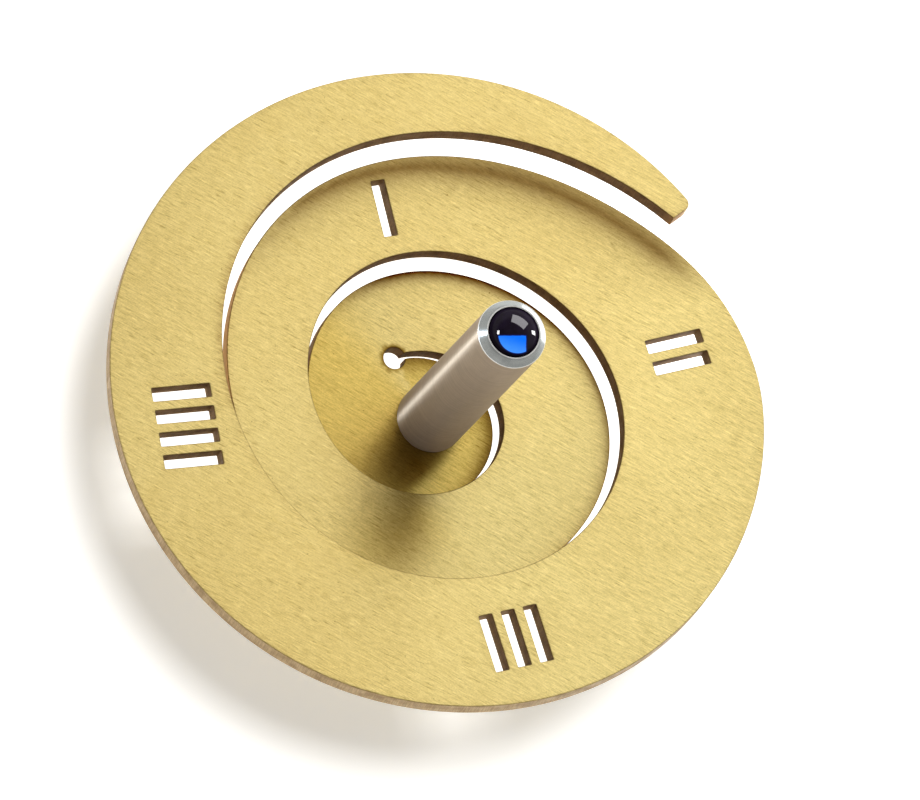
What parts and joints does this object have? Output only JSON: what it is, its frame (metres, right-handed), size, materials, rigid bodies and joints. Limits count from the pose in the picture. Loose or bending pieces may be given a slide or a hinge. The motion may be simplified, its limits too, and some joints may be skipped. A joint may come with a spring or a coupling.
{
  "type": "spinning top",
  "caption": "Disc spinning top: a sheet disc slit along a spiral and drawn down to a low centre, clamped between a round handle stem with a glass cabochon and a pointed foot.",
  "frame": {"origin": "the point the top spins on, on the spin axis", "axes": "+Z is the spin axis, up the handle stem; +X points through the free end of the disc's outer turn"},
  "size_m": [0.068, 0.0682, 0.0427],
  "materials": {
    "gold_sheet": "gold anodised over a fine linear brushed grain, satin",
    "stem_metal": "turned, satin side and bright bevelled end",
    "blue_glass": "deep blue, polished dome",
    "foil": "bright reflecting foil",
    "foot_metal": "turned, satin"
  },
  "bodies": {
    "root": {"spiral_disc": "gold_sheet", "stem": "stem_metal", "cabochon": "blue_glass", "foil_backing": "foil", "foot": "foot_metal"}
  },
  "joints": []
}
